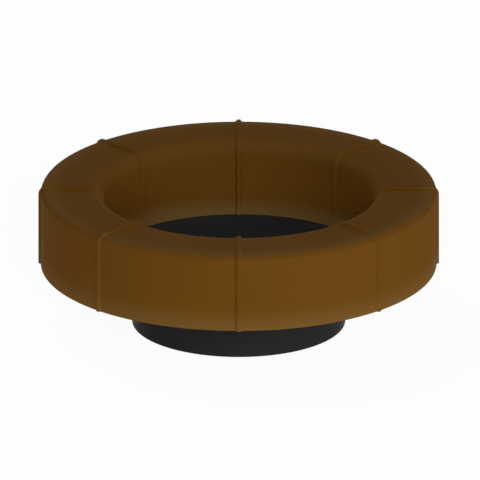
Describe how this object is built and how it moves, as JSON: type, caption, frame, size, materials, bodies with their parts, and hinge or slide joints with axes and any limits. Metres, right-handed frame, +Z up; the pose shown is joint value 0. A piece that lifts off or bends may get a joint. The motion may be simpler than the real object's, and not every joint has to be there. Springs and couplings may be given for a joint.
{
  "type": "toilet pan seal",
  "caption": "Thick soft wax ring with raised mould ribs, cast on the flange of a black plastic sleeve whose short tube stands out below it; seals a toilet pan to a waste pipe.",
  "frame": {"origin": "centre of the sleeve's lower rim, on the plane that the seal stands on", "axes": "+Z up along the waste way, from the pipe towards the pan; one rib lies on each of -Y, +X, +Y and -X"},
  "size_m": [0.1346, 0.1346, 0.0482],
  "materials": {
    "wax": "amber-brown petroleum wax, soft satin sheen",
    "black_plastic": "black moulded polyethylene, satin"
  },
  "bodies": {
    "root": {"wax_ring": "wax", "flanged_sleeve": "black_plastic"}
  },
  "joints": []
}
